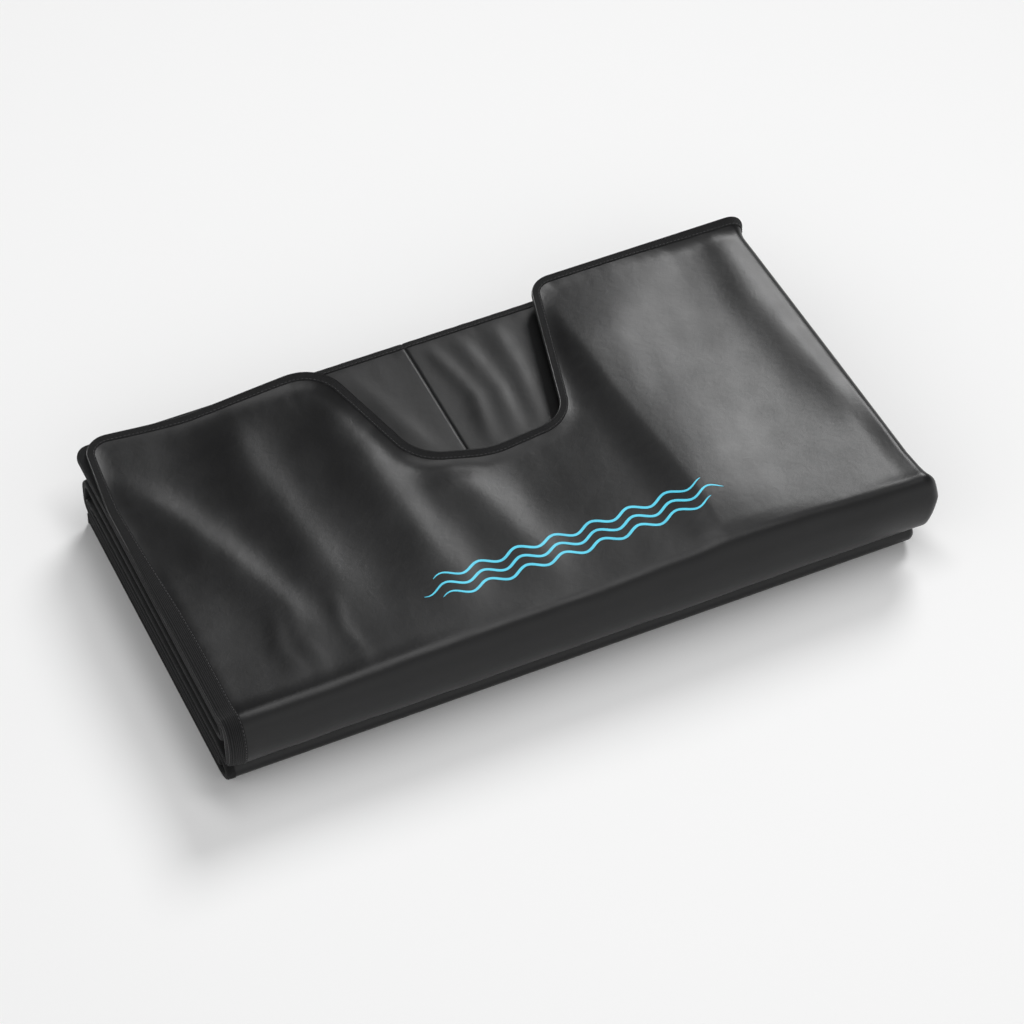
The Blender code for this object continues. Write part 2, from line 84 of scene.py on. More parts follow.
def setStudio():
    camera = bpy.data.objects.new("camera", bpy.data.cameras.new("camera"))
    bpy.context.scene.collection.objects.link(camera)
    camera.data.lens = studio["cameraLens"]
    camera.data.sensor_width = 36.0
    camera.data.clip_end = 60.0
    aimed(camera, studio["cameraPlace"], studio["cameraTarget"])
    bpy.context.scene.camera = camera
    for name, place, target, size, power in studio["lights"]:
        lamp = bpy.data.lights.new(name, "AREA")
        lamp.shape = "RECTANGLE"
        lamp.size, lamp.size_y = size
        lamp.energy = power
        made = bpy.data.objects.new(name, lamp)
        bpy.context.scene.collection.objects.link(made)
        aimed(made, place, target)
    sun = bpy.data.lights.new("keySun", "SUN")
    sun.energy, sun.angle = studio["sunStrength"], math.radians(studio["sunAngle"])
    key = bpy.data.objects.new("keySun", sun)
    bpy.context.scene.collection.objects.link(key)
    aimed(key, studio["sunFrom"], (0, 0, 0))
    world = bpy.data.worlds.new("paleStudio")
    world.use_nodes = True
    background = world.node_tree.nodes["Background"]
    background.inputs["Color"].default_value = (*studio["worldColour"], 1.0)
    tree = world.node_tree
    facing = tree.nodes.new("ShaderNodeVectorMath")
    facing.operation = "DOT_PRODUCT"
    facing.inputs[1].default_value = studio["worldDarkSide"]
    tree.links.new(tree.nodes.new("ShaderNodeTexCoord").outputs["Generated"], facing.inputs[0])
    shade = tree.nodes.new("ShaderNodeMapRange")
    for side, facingLimit, strength in zip(("Min", "Max"), studio["worldTurn"], studio["worldStrengths"]):
        shade.inputs["From " + side].default_value = facingLimit
        shade.inputs["To " + side].default_value = strength
    tree.links.new(facing.outputs["Value"], shade.inputs["Value"])
    tree.links.new(shade.outputs["Result"], background.inputs["Strength"])
    bpy.context.scene.world = world
    bpy.context.scene.view_settings.view_transform = "Standard"
    bpy.ops.mesh.primitive_plane_add(size=studio["floorSize"])
    floor = bpy.context.active_object
    floor.name = "studioFloor"
    paint = bpy.data.materials.new("palePaper")
    paint.use_nodes = True
    shader = paint.node_tree.nodes["Principled BSDF"]
    shader.inputs["Base Color"].default_value = (*studio["floorColour"], 1.0)
    shader.inputs["Roughness"].default_value = 0.95
    shader.inputs["Specular IOR Level"].default_value = 0.0
    floor.data.materials.append(paint)
    floor.location = (0.0, 0.0, -0.0009)


setStudio()
print("studio ready")


# Materials

def newMaterial(name):
    made = bpy.data.materials.new(name)
    made.use_nodes = True
    return made, made.node_tree, made.node_tree.nodes["Principled BSDF"]


def addNode(tree, kind, settings=None, **values):
    node = tree.nodes.new(kind)
    for key, value in (settings or {}).items():
        setattr(node, key, value)
    for key, value in values.items():
        node.inputs[key.replace("_", " ")].default_value = value
    return node


def colourRamp(tree, source, stops):
    ramp = tree.nodes.new("ShaderNodeValToRGB")
    while len(ramp.color_ramp.elements) < len(stops):
        ramp.color_ramp.elements.new(0.5)
    for element, (place, colour) in zip(ramp.color_ramp.elements, stops):
        element.position = place
        element.color = (*colour, 1.0) if len(colour) == 3 else (colour[0],) * 3 + (1.0,)
    tree.links.new(source, ramp.inputs[0])
    return ramp.outputs["Color"]


leatherLook = {
    "grainSize": 1100.0,      # grain cells per metre
    "grainDepth": 0.00006,
    "creaseSize": 95.0,
    "creaseDepth": 0.00035,
    "patchSize": 9.0,
}


def coatedLeather(name, dark, light, roughLow, roughHigh, grain=1.0):
    made, tree, shader = newMaterial(name)
    place = tree.nodes.new("ShaderNodeTexCoord").outputs["Object"]
    patches = addNode(tree, "ShaderNodeTexNoise", Scale=leatherLook["patchSize"], Detail=4.0)
    tree.links.new(place, patches.inputs["Vector"])
    tree.links.new(
        colourRamp(tree, patches.outputs["Fac"], [(0.30, dark), (0.70, light)]),
        shader.inputs["Base Color"],
    )
    wear = addNode(tree, "ShaderNodeTexNoise", Scale=leatherLook["patchSize"] * 3.1, Detail=6.0)
    tree.links.new(place, wear.inputs["Vector"])
    spread = addNode(
        tree, "ShaderNodeMapRange", From_Min=0.3, From_Max=0.7, To_Min=roughLow, To_Max=roughHigh
    )
    tree.links.new(wear.outputs["Fac"], spread.inputs["Value"])
    tree.links.new(spread.outputs["Result"], shader.inputs["Roughness"])
    cells = addNode(
        tree, "ShaderNodeTexVoronoi", {"feature": "SMOOTH_F1"}, Scale=leatherLook["grainSize"]
    )
    tree.links.new(place, cells.inputs["Vector"])
    creases = addNode(
        tree, "ShaderNodeTexNoise", Scale=leatherLook["creaseSize"], Detail=5.0, Distortion=0.6
    )
    tree.links.new(place, creases.inputs["Vector"])
    fine = addNode(
        tree, "ShaderNodeBump", Strength=0.55 * grain, Distance=leatherLook["grainDepth"]
    )
    tree.links.new(cells.outputs["Distance"], fine.inputs["Height"])
    broad = addNode(
        tree, "ShaderNodeBump", Strength=0.5 * grain, Distance=leatherLook["creaseDepth"]
    )
    tree.links.new(creases.outputs["Fac"], broad.inputs["Height"])
    tree.links.new(fine.outputs["Normal"], broad.inputs["Normal"])
    tree.links.new(broad.outputs["Normal"], shader.inputs["Normal"])
    shader.inputs["Specular IOR Level"].default_value = 0.33
    return made


def wovenTape(name, dark, light, pitch=0.0011, ownMap=True):
    made, tree, shader = newMaterial(name)
    if ownMap:
        uv = addNode(tree, "ShaderNodeUVMap", {"uv_map": "TapeUV"}).outputs["UV"]
    else:
        uv = tree.nodes.new("ShaderNodeTexCoord").outputs["Object"]
    heights = []
    for direction in ("X", "Y" if ownMap else "Z"):
        wave = addNode(
            tree,
            "ShaderNodeTexWave",
            {"wave_type": "BANDS", "bands_direction": direction},
            Scale=0.314 / pitch,
            Distortion=0.35,
            Detail=1.0,
        )
        tree.links.new(uv, wave.inputs["Vector"])
        heights.append(wave.outputs["Fac"])
    joined = addNode(tree, "ShaderNodeMath", {"operation": "MULTIPLY"})
    tree.links.new(heights[0], joined.inputs[0])
    tree.links.new(heights[1], joined.inputs[1])
    fluff = addNode(tree, "ShaderNodeTexNoise", Scale=2400.0, Detail=3.0)
    tree.links.new(uv, fluff.inputs["Vector"])
    mixed = addNode(tree, "ShaderNodeMath", {"operation": "MULTIPLY_ADD"})
    mixed.inputs[1].default_value = 0.45
    tree.links.new(fluff.outputs["Fac"], mixed.inputs[0])
    tree.links.new(joined.outputs[0], mixed.inputs[2])
    tree.links.new(
        colourRamp(tree, mixed.outputs[0], [(0.15, dark), (0.85, light)]),
        shader.inputs["Base Color"],
    )
    bump = addNode(tree, "ShaderNodeBump", Strength=0.9, Distance=0.0005)
    tree.links.new(mixed.outputs[0], bump.inputs["Height"])
    tree.links.new(bump.outputs["Normal"], shader.inputs["Normal"])
    shader.inputs["Roughness"].default_value = 0.80
    shader.inputs["Specular IOR Level"].default_value = 0.15
    shader.inputs["Sheen Weight"].default_value = 0.05
    shader.inputs["Sheen Roughness"].default_value = 0.5
    return made


def speckled(name, dark, light, rough, size, depth, metallic=0.0, sheen=0.0):
    made, tree, shader = newMaterial(name)
    place = tree.nodes.new("ShaderNodeTexCoord").outputs["Object"]
    grain = addNode(tree, "ShaderNodeTexNoise", Scale=size, Detail=4.0)
    tree.links.new(place, grain.inputs["Vector"])
    tree.links.new(
        colourRamp(tree, grain.outputs["Fac"], [(0.35, dark), (0.65, light)]),
        shader.inputs["Base Color"],
    )
    bump = addNode(tree, "ShaderNodeBump", Strength=0.5, Distance=depth)
    tree.links.new(grain.outputs["Fac"], bump.inputs["Height"])
    tree.links.new(bump.outputs["Normal"], shader.inputs["Normal"])
    shader.inputs["Roughness"].default_value = rough
    shader.inputs["Metallic"].default_value = metallic
    shader.inputs["Sheen Weight"].default_value = sheen
    return made


tapeBlack, tapeGlint = (0.0010, 0.0010, 0.0011), (0.0260, 0.0260, 0.0270)
looks = {
    "cover": coatedLeather(
        "coverLeather", (0.0045, 0.0045, 0.0048), (0.0070, 0.0070, 0.0074), 0.345, 0.385
    ),
    "base": coatedLeather(
        "baseLeather", (0.0030, 0.0030, 0.0032), (0.0045, 0.0045, 0.0047), 0.38, 0.43
    ),
    "lining": coatedLeather(
        "liningLeather", (0.0045, 0.0045, 0.0048), (0.0065, 0.0065, 0.0069), 0.37, 0.46, 0.8
    ),
    "tape": wovenTape("wovenEdgeTape", tapeBlack, tapeGlint),
    "footTape": wovenTape("wovenFootTape", tapeBlack, tapeGlint, ownMap=False),
    "thread": speckled(
        "blackThread", (0.020, 0.020, 0.021), (0.048, 0.048, 0.050), 0.60, 900.0, 0.0001, sheen=0.2
    ),
    "print": speckled("cyanPrint", (0.070, 0.560, 0.760), (0.090, 0.640, 0.840), 0.48, 60.0, 0.00002),
    "closure": speckled(
        "closureTape", (0.006, 0.006, 0.007), (0.022, 0.022, 0.023), 0.90, 1600.0, 0.0008, sheen=0.3
    ),
    "plastic": speckled(
        "mouldedPlastic", (0.013, 0.013, 0.013), (0.018, 0.018, 0.018), 0.42, 1400.0, 0.00004
    ),
    "metal": speckled(
        "platedMetal", (0.60, 0.58, 0.52), (0.70, 0.68, 0.62), 0.24, 300.0, 0.00002, metallic=1.0
    ),
}
print("materials ready")


# Levels, hinges and sides, from the frame

def lowZ(node):
    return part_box(node)[0][2]


def highZ(node):
    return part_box(node)[1][2]


hinges = {j["name"]: (j["pos_m"][1], j["pos_m"][2]) for j in frame["joints"]}
level = {
    "foot": (lowZ("foot_cover_shell"), highZ("foot_base_shell")),
    "knee": (lowZ("knee_base_shell"), highZ("knee_cover_shell")),
    "hip": (lowZ("hip_cover_shell"), highZ("hip_base_shell")),
    "shoulder": (lowZ("shoulder_base_shell"), highZ("shoulder_cover_shell")),
}
thinPanel = level["foot"][1] - level["foot"][0]
thickPanel = level["shoulder"][1] - level["shoulder"][0]
thinLayer = (thinPanel - 0.003) / 2
thickLayer = (thickPanel - 0.003) / 2
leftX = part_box("shoulder_cover_shell")[0][0]
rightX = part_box("shoulder_closed_side")[1][0]
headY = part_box("shoulder_cover_binding")[1][1]
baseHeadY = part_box("shoulder_base_binding")[1][1]
upperHinge, lowerOfUpper = hinges["upper_fold_top_hinge"], hinges["upper_fold_low_hinge"]
kneeFrontHinge, floorHinge = hinges["lower_fold_top_hinge"], hinges["lower_fold_floor_hinge"]
kneeBackHinge, hipBackHinge = hinges["back_fold_low_hinge"], hinges["back_fold_high_hinge"]


# Skin paths: lines in Y and Z, followed along the outer skin

def arcPoints(centre, radii, start, end, step=3.0):
    # points on an ellipse, angles in degrees from +Y towards +Z
    count = max(2, math.ceil(abs(end - start) / step))
    turns = [math.radians(start + (end - start) * i / count) for i in range(count + 1)]
    return [(centre[0] + radii[0] * math.cos(a), centre[1] + radii[1] * math.sin(a)) for a in turns]


class SkinPath:
    def __init__(self, points, facing):
        apart = [i == 0 or math.dist(p, points[i - 1]) > 1e-6 for i, p in enumerate(points)]
        points = np.array(points, float)[apart]
        self.points = points
        steps = np.hypot(*np.diff(points, axis=0).T)
        self.along = np.concatenate([[0.0], np.cumsum(steps)])
        self.length = float(self.along[-1])
        tangents = np.diff(points, axis=0) / steps[:, None]
        corners = np.vstack([tangents[:1], (tangents[1:] + tangents[:-1]) / 2, tangents[-1:]])
        corners /= np.hypot(*corners.T)[:, None]
        normals = np.stack([-corners[:, 1], corners[:, 0]], axis=1)
        self.normals = normals * (1.0 if normals[0] @ np.array(facing) > 0 else -1.0)

    def at(self, s):
        s = np.clip(s, 0.0, self.length)
        y, z = (np.interp(s, self.along, self.points[:, k]) for k in (0, 1))
        ny, nz = (np.interp(s, self.along, self.normals[:, k]) for k in (0, 1))
        size = np.hypot(ny, nz)
        return y, z, ny / size, nz / size


def smooth(t):
    t = np.clip(t, 0.0, 1.0)
    return t * t * (3.0 - 2.0 * t)


def waves(u, v, seed, size, count=7):
    # a calm random surface in -1 to 1, as a sum of slanted waves
    rng = np.random.default_rng(seed)
    total = np.zeros(np.broadcast(u, v).shape)
    for _ in range(count):
        angle, phase = rng.uniform(0, 2 * math.pi, 2)
        k = 2 * math.pi / (size * rng.uniform(0.7, 1.6))
        total += np.sin(k * (u * math.cos(angle) + v * math.sin(angle)) + phase)
    return total / count * 1.6


# One padded layer: a skin path, its thickness, its left edge and the round of its closed side.
class Layer:
    def __init__(self, path, thick, wrap, edge, relief=None, liningRelief=None):
        self.path, self.thick, self.wrap, self.edge = path, thick, wrap, edge
        self.relief, self.liningRelief = relief, liningRelief
        self.side = rightX - self.referenceRound() if wrap else rightX - edge["sideGap"]

    def referenceRound(self):
        return max(self.wrap[1])

    def roundAt(self, s):
        return np.interp(s, *self.wrap) if self.wrap else np.zeros_like(s)

    def thickAt(self, s):
        return np.interp(s, *self.thick)

    def place(self, u, s, depth):  # u across, s along the skin, depth under it
        u, s, depth = np.broadcast_arrays(*(np.asarray(value, float) for value in (u, s, depth)))
        across, below = np.minimum(u, self.side), depth
        if self.wrap:
            r = self.roundAt(s)
            turn = np.clip((u - self.side) / self.referenceRound(), 0.0, math.pi)
            flat = np.minimum(u, self.side) - self.side
            across = across + (self.referenceRound() - r) * smooth(1 + flat / 0.10)
            if "swell" in self.edge:
                across = across + np.interp(s, *self.edge["swell"]) * smooth(1 + flat / 0.14)
            across = across + (r - np.minimum(depth, r * 0.96)) * np.sin(turn)
            below = np.where(turn > 0, r - (r - np.minimum(depth, r * 0.96)) * np.cos(turn), depth)
        y, z, ny, nz = self.path.at(s)
        return np.stack([across, y - ny * below, z - nz * below], axis=-1)

    def edgeShare(self, u, s):  # 1 on a bound edge, falling to 0 inside the pinch
        away = u - leftX
        corner = self.edge.get("corner", 0.0)
        if corner:
            inCorner = (away < corner) & (s < corner)
            rounded = corner - np.hypot(corner - away, corner - s)
            away = np.where(inCorner, rounded, np.minimum(away, s))
        return np.clip(1.0 - away / self.edge["pinch"], 0.0, 1.0) ** 2

    def depths(self, u, s):
        thick = self.thickAt(s)
        share = self.edgeShare(u, s)
        slim = np.minimum(self.edge["thickness"], thick)
        outer = (thick - slim) * self.edge["restOn"] * share
        inner = thick - (thick - slim) * (1 - self.edge["restOn"]) * share
        if self.relief is not None:
            outer = outer - self.relief(u, s)
        if self.liningRelief is not None:
            inner = inner + self.liningRelief(u, s)
        if self.wrap:
            side = smooth((u - self.side + 0.03) / 0.03)
            inner = inner * (1 - side) + np.minimum(inner, self.roundAt(s) * 0.55) * side
        return outer, inner


def rowsFor(length, spacing, zones=()):
    # row places along a path: even, and closer together inside each zone (start, end, spacing)
    places = list(np.linspace(0.0, length, max(2, math.ceil(length / spacing) + 1)))
    for start, end, fine in zones:
        start, end = max(0.0, start), min(length, end)
        places = [p for p in places if p < start - fine / 2 or p > end + fine / 2]
        places += list(np.linspace(start, end, max(2, math.ceil((end - start) / fine) + 1)))
    return np.array(sorted(places))


def columnsFor(layer, spacing, extra=()):
    edge = leftX + np.array([0.0, 0.0012, 0.003, 0.006, 0.010, 0.015, 0.021])
    flat = np.linspace(leftX + 0.028, layer.side, math.ceil((layer.side - leftX) / spacing))
    places = list(edge) + list(flat)
    if layer.wrap:
        turn = layer.referenceRound() * math.pi
        places += list(layer.side + np.linspace(0.0, turn, max(10, math.ceil(turn / 0.0035)))[1:])
    places = [p for p in places if all(abs(p - e) > 0.0025 for e in extra)]
    return np.array(sorted(places + list(extra)))


def linkedMesh(name, points, faces, look, smoothShade=True):
    mesh = bpy.data.meshes.new(name)
    mesh.from_pydata([tuple(p) for p in points], [], [tuple(int(i) for i in f) for f in faces])
    mesh.materials.append(look)
    if smoothShade:
        mesh.shade_smooth()
    made = bpy.data.objects.new(name, mesh)
    bpy.context.scene.collection.objects.link(made)
    return made


def faceOutwards(obj, sharp=None):
    shape = bmesh.new()
    shape.from_mesh(obj.data)
    bmesh.ops.recalc_face_normals(shape, faces=shape.faces)
    if shape.calc_volume(signed=True) < 0:
        bmesh.ops.reverse_faces(shape, faces=shape.faces)
    shape.to_mesh(obj.data)
    shape.free()
    if sharp is not None:
        obj.data.shade_smooth()
        obj.data.set_sharp_from_angle(angle=math.radians(sharp))


def gridSlab(name, layer, columns, rows, look, liningLook=None):
    # a grid on the skin, its copy on the lining side and a strip round them
    u, s = np.meshgrid(columns, rows)
    corner = layer.edge.get("corner", 0.0)
    if corner:  # the square corner of the grid is drawn in to a round one
        a, b = np.maximum(corner - (u - leftX), 0), np.maximum(corner - s, 0)
        size = np.hypot(a, b)
        scale = np.where(size > 0, np.maximum(a, b) / np.maximum(size, 1e-9), 1.0)
        inCorner = (a > 0) & (b > 0)
        u = np.where(inCorner, leftX + corner - a * scale, u)
        s = np.where(inCorner, corner - b * scale, s)
    outer, inner = layer.depths(u, s)
    top = layer.place(u, s, outer).reshape(-1, 3)
    bottom = layer.place(u, s, inner).reshape(-1, 3)
    wide, tall = len(columns), len(rows)
    index = np.arange(wide * tall).reshape(tall, wide)
    quads = np.stack([index[:-1, :-1], index[:-1, 1:], index[1:, 1:], index[1:, :-1]], -1).reshape(-1, 4)
    rim = np.concatenate([index[0, :-1], index[:-1, -1], index[-1, :0:-1], index[:0:-1, 0]])
    nextRim = np.roll(rim, -1)
    below = wide * tall
    strip = np.stack([rim, rim + below, nextRim + below, nextRim], -1)
    faces = list(quads) + list(quads[:, ::-1] + below) + list(strip)
    made = linkedMesh(name, np.vstack([top, bottom]), faces, look)
    if liningLook is not None:
        made.data.materials.append(liningLook)
        picks = np.zeros(len(faces), np.int32)
        picks[len(quads): 2 * len(quads)] = 1
        made.data.polygons.foreach_set("material_index", picks)
    faceOutwards(made, 50)
    return made


tapeSettings = {
    "leg": 0.0100,
    "thick": 0.0008,
    "sunk": 0.0004,     # how deep its inner side lies in the cloth
    "reach": 0.0015,    # where the turn round the edge starts
    "round": 5,
}


def edgeTape(name, layer, line, inwards, look, leg=tapeSettings["leg"]):
    # woven tape folded over an edge: line is (u, s) on the edge, inwards points into the layer
    proud, sunk = tapeSettings["thick"], tapeSettings["sunk"]
    line, inwards = np.array(line, float), np.array(inwards, float)
    insets = [leg, leg * 0.66, leg * 0.33, tapeSettings["reach"]]
    rings = []
    for lift, out in ((proud, proud), (-sunk, -sunk)):
        ring = []
        for inset in insets:
            spot = line + inwards * inset
            outer, _ = layer.depths(spot[:, 0], spot[:, 1])
            ring.append(layer.place(spot[:, 0], spot[:, 1], outer - lift))
        nearEdge = line + inwards * tapeSettings["reach"]
        outer, inner = layer.depths(nearEdge[:, 0], nearEdge[:, 1])
        middle, half = (outer + inner) / 2, (inner - outer) / 2
        for k in range(1, tapeSettings["round"]):
            a = math.pi * k / tapeSettings["round"]
            reach = (tapeSettings["reach"] + out) * math.sin(a)
            spot = line + inwards * (tapeSettings["reach"] - reach)
            ring.append(beyond(layer, spot, middle - (half + lift) * math.cos(a)))
        for inset in insets[::-1]:
            spot = line + inwards * inset
            _, inner = layer.depths(spot[:, 0], spot[:, 1])
            ring.append(layer.place(spot[:, 0], spot[:, 1], inner + lift))
        rings.append(np.array(ring))
    loop = np.concatenate([rings[0], rings[1][::-1]])     # section points x line points x 3
    count, steps = loop.shape[:2]
    points = loop.transpose(1, 0, 2).reshape(-1, 3)
    faces = []
    for i in range(steps - 1):
        for k in range(count):
            n = (k + 1) % count
            faces.append((i * count + k, i * count + n, (i + 1) * count + n, (i + 1) * count + k))
    half = count // 2
    for end in (0, (steps - 1) * count):
        for k in range(half - 1):
            faces.append((end + k, end + k + 1, end + count - 2 - k, end + count - 1 - k))
    made = linkedMesh(name, points, faces, look)
    uvLayer = made.data.uv_layers.new(name="TapeUV")
    along = np.concatenate([[0.0], np.cumsum(np.hypot(*np.diff(line, axis=0).T))])
    around = np.linalg.norm(np.diff(loop[:, steps // 2], axis=0), axis=1)
    width = np.concatenate([[0.0], np.cumsum(around)])
    corner = np.zeros(len(made.data.loops), np.int32)
    made.data.loops.foreach_get("vertex_index", corner)
    uv = np.stack([along[corner // count], width[corner % count]], -1)
    uvLayer.data.foreach_set("uv", uv.astype(np.float32).ravel())
    faceOutwards(made, 45)
    return made


def beyond(layer, spot, depth):
    # a point just outside the layer's edge, which the layer itself never reaches
    inside = np.stack([np.maximum(spot[:, 0], leftX), np.clip(spot[:, 1], 0.0, layer.path.length)], -1)
    points = layer.place(inside[:, 0], inside[:, 1], depth)
    points[:, 0] += spot[:, 0] - inside[:, 0]
    past = spot[:, 1] - inside[:, 1]
    y, z, ny, nz = layer.path.at(inside[:, 1])
    ahead = layer.path.at(np.clip(inside[:, 1] + 0.0005, 0, layer.path.length))
    behind = layer.path.at(np.clip(inside[:, 1] - 0.0005, 0, layer.path.length))
    ty, tz = ahead[0] - behind[0], ahead[1] - behind[1]
    size = np.hypot(ty, tz)
    points[:, 1] += ty / size * past
    points[:, 2] += tz / size * past
    return points


# Stitches: small thread capsules along a line, by Geometry Nodes

def stitchTree():
    tree = bpy.data.node_groups.new("stitchRow", "GeometryNodeTree")
    tree.interface.new_socket("Geometry", in_out="INPUT", socket_type="NodeSocketGeometry")
    for name, value in (("Pitch", 0.0052), ("Length", 0.0036), ("Thickness", 0.00075)):
        entered = tree.interface.new_socket(name, in_out="INPUT", socket_type="NodeSocketFloat")
        entered.default_value = value
    tree.interface.new_socket("Thread", in_out="INPUT", socket_type="NodeSocketMaterial")
    tree.interface.new_socket("Geometry", in_out="OUTPUT", socket_type="NodeSocketGeometry")
    entry = tree.nodes.new("NodeGroupInput")
    leave = tree.nodes.new("NodeGroupOutput")
    spots = tree.nodes.new("GeometryNodeCurveToPoints")
    spots.mode = "LENGTH"
    stitch = tree.nodes.new("GeometryNodeMeshUVSphere")
    stitch.inputs["Segments"].default_value = 6
    stitch.inputs["Rings"].default_value = 4
    stitch.inputs["Radius"].default_value = 0.5
    size = tree.nodes.new("ShaderNodeCombineXYZ")
    onPoints = tree.nodes.new("GeometryNodeInstanceOnPoints")
    real = tree.nodes.new("GeometryNodeRealizeInstances")
    paint = tree.nodes.new("GeometryNodeSetMaterial")
    joins = (
        (entry.outputs["Geometry"], spots.inputs["Curve"]),
        (entry.outputs["Pitch"], spots.inputs["Length"]),
        (spots.outputs["Points"], onPoints.inputs["Points"]),
        (spots.outputs["Rotation"], onPoints.inputs["Rotation"]),
        (stitch.outputs["Mesh"], onPoints.inputs["Instance"]),
        (entry.outputs["Thickness"], size.inputs["X"]),
        (entry.outputs["Thickness"], size.inputs["Y"]),
        (entry.outputs["Length"], size.inputs["Z"]),
        (size.outputs["Vector"], onPoints.inputs["Scale"]),
        (onPoints.outputs["Instances"], real.inputs["Geometry"]),
        (real.outputs["Geometry"], paint.inputs["Geometry"]),
        (entry.outputs["Thread"], paint.inputs["Material"]),
        (paint.outputs["Geometry"], leave.inputs["Geometry"]),
    )
    for source, target in joins:
        tree.links.new(source, target)
    return tree


stitchNodes = stitchTree()


def stitchRow(name, points, pitch=0.0052, length=0.0036, thickness=0.00075):
    curve = bpy.data.curves.new(name, "CURVE")
    curve.dimensions = "3D"
    spline = curve.splines.new("POLY")
    spline.points.add(len(points) - 1)
    spline.points.foreach_set("co", np.column_stack([points, np.ones(len(points))]).ravel())
    holder = bpy.data.objects.new(name + "Line", curve)
    bpy.context.scene.collection.objects.link(holder)
    rule = holder.modifiers.new("stitches", "NODES")
    rule.node_group = stitchNodes
    values = {"Pitch": pitch, "Length": length, "Thickness": thickness, "Thread": looks["thread"]}
    for item in stitchNodes.interface.items_tree:
        if item.in_out == "INPUT" and item.name in values:
            rule[item.identifier] = values[item.name]
    bpy.context.view_layer.update()
    graph = bpy.context.evaluated_depsgraph_get()
    mesh = bpy.data.meshes.new_from_object(holder.evaluated_get(graph))
    mesh.name = name
    made = bpy.data.objects.new(name, mesh)
    bpy.context.scene.collection.objects.link(made)
    bpy.data.objects.remove(holder, do_unlink=True)
    bpy.data.curves.remove(curve)
    mesh.shade_smooth()
    return made


# Each piece's placement is baked into its mesh


def turnAcross(piece, mitre, before, after):
    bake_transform(piece)


# The shoulder cover: the top of the stack, its neck notch and the front fold

cover = {
    "gap": 0.0038,              # grid spacing
    "foldRadius": 0.045,
    "foldReach": 0.029,
    "bellyDepth": 0.017,
    "cornerRadius": 0.030,
    "leftHeadPull": 0.0215,
    "edgeThickness": 0.0075,
    "frontEdgeThickness": 0.0150,
    "frontTapeWiden": 1.1,      # extra share of the tape's leg down the left side
    "pinch": 0.030,
    "crown": 0.0060,            # how far the right part swells above the stack
    "sideFall": 0.0135,         # how far it falls again towards the closed side
    # how far the closed side bulges, at places along the skin
    "sideSwell": (
        [0, 0.05, 0.25, 0.44, 0.50, 0.53, 0.57, 0.62],
        [0.006, 0.008, 0.014, 0.019, 0.025, 0.025, 0.012, -0.002],
    ),
    "leftEdgeDrop": 0.0150,     # depth of the left edge's top under the stack's top
    "rightEdgeDrop": -0.0045,
    "sag": 0.0150,
    "puckerHeight": 0.0011,
}
notch = {
    # x, rise above the notch's foot, corner radius
    "corners": ((-0.132, None, 0.060), (-0.082, 0.027, 0.060), (0.0, 0.0, 0.100),
                (0.104, 0.010, 0.045), (0.162, None, 0.032)),
    "depth": 0.238,
}


def softFold(crest, height, widths, shown):
    # crest as (y, x) pairs, widths to the left and right, and where along Y it fades in and out
    return {"crest": crest, "height": height, "widths": widths, "shown": shown}


coverFolds = (
    softFold(
        crest=((-0.215, -0.118), (-0.122, -0.127), (0.0, -0.140), (0.076, -0.143), (0.178, -0.150)),
        height=0.0052, widths=(0.036, 0.034), shown=(-0.235, -0.060, 0.130, 0.215),
    ),
    softFold(
        crest=((-0.089, -0.250), (0.027, -0.262), (0.114, -0.272), (0.201, -0.270)),
        height=0.0042, widths=(0.036, 0.030), shown=(-0.200, -0.030, 0.160, 0.225),
    ),
    softFold(
        crest=((-0.174, -0.302), (-0.091, -0.320), (-0.001, -0.349), (0.111, -0.392), (0.179, -0.430)),
        height=0.0050, widths=(0.036, 0.028), shown=(-0.215, -0.080, 0.120, 0.200),
    ),
    softFold(
        crest=((-0.225, -0.010), (-0.135, -0.020), (-0.044, -0.040), (0.025, -0.072)),
        height=0.0042, widths=(0.040, 0.034), shown=(-0.240, -0.130, -0.020, 0.030),
    ),
    softFold(
        crest=((-0.191, 0.200), (-0.083, 0.194), (0.052, 0.180), (0.226, 0.172)),
        height=0.0085, widths=(0.032, 0.100), shown=(-0.290, -0.150, 0.120, 0.260),
    ),
    softFold(
        crest=((-0.144, 0.428), (0.0, 0.414), (0.13, 0.405), (0.271, 0.420)),
        height=0.0050, widths=(0.032, 0.050), shown=(-0.160, 0.000, 0.210, 0.280),
    ),
    softFold(
        crest=((-0.190, -0.338), (-0.158, -0.345), (-0.120, -0.336)),
        height=0.0010, widths=(0.013, 0.011), shown=(-0.232, -0.180, -0.140, -0.085),
    ),
    softFold(
        crest=((-0.190, -0.312), (-0.150, -0.320), (-0.110, -0.314)),
        height=0.0009, widths=(0.013, 0.011), shown=(-0.228, -0.180, -0.135, -0.085),
    ),
    softFold(
        crest=((-0.205, -0.262), (-0.160, -0.268), (-0.120, -0.262)),
        height=0.0009, widths=(0.010, 0.010), shown=(-0.240, -0.190, -0.140, -0.090),
    ),
)


def coverPath():
    front, top = upperHinge
    radius = cover["foldRadius"]
    flatEnd, middle = front + cover["foldReach"], top - radius
    points = [(headY, top), (0.12, top), (0.0, top), (-0.1, top)]
    points += arcPoints((flatEnd, middle), (cover["foldReach"], radius), 90, 180)
    drop, depth = middle - lowerOfUpper[1] - 0.0002, cover["bellyDepth"]
    points += arcPoints((front + depth, middle), (depth, drop), 180, 268)[1:]
    return SkinPath(points, (0, 1))


